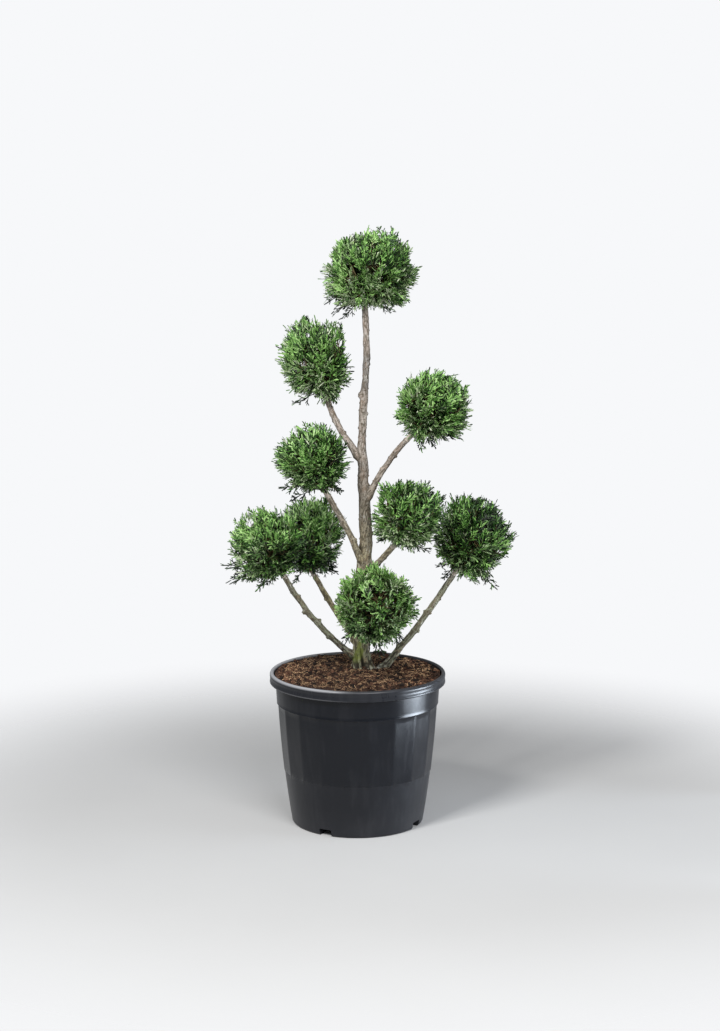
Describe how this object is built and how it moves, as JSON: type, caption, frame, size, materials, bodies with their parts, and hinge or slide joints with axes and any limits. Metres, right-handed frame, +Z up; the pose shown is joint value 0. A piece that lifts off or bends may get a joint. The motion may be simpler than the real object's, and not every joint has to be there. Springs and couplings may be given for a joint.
{
  "type": "potted hinoki cypress multiball topiary",
  "caption": "Potted hinoki cypress topiary: clipped balls of evergreen foliage on a bare trunk and bare curving limbs, in a round black nursery pot filled with compost.",
  "frame": {"origin": "middle of the flat underside of the pot", "axes": "+Z up along the plant, -Y towards the front seen in the picture, +X to the right seen from the front"},
  "size_m": [0.5779, 0.3811, 1.218],
  "materials": {
    "pot_plastic": "satin anthracite moulded plastic, with a soft gloss on the flat panels",
    "compost": "loose reddish-brown bark and coir fines",
    "bark": "grey-tan bark with shallow ridges and small pruning scars",
    "foliage": "matte evergreen scale foliage, lighter at the tips"
  },
  "bodies": {
    "root": {"pot": "pot_plastic", "compost": "compost", "trunk": "bark", "limb_upper_left": "bark", "limb_upper_right": "bark", "limb_middle_left": "bark", "limb_middle_right": "bark", "limb_low_left_front": "bark", "limb_low_left_back": "bark", "limb_low_right": "bark", "limb_low_front": "bark", "foliage_top": "foliage", "foliage_upper_left": "foliage", "foliage_upper_right": "foliage", "foliage_middle_left": "foliage", "foliage_middle_right": "foliage", "foliage_low_left_front": "foliage", "foliage_low_left_back": "foliage", "foliage_low_right": "foliage", "foliage_low_front": "foliage"}
  },
  "joints": []
}
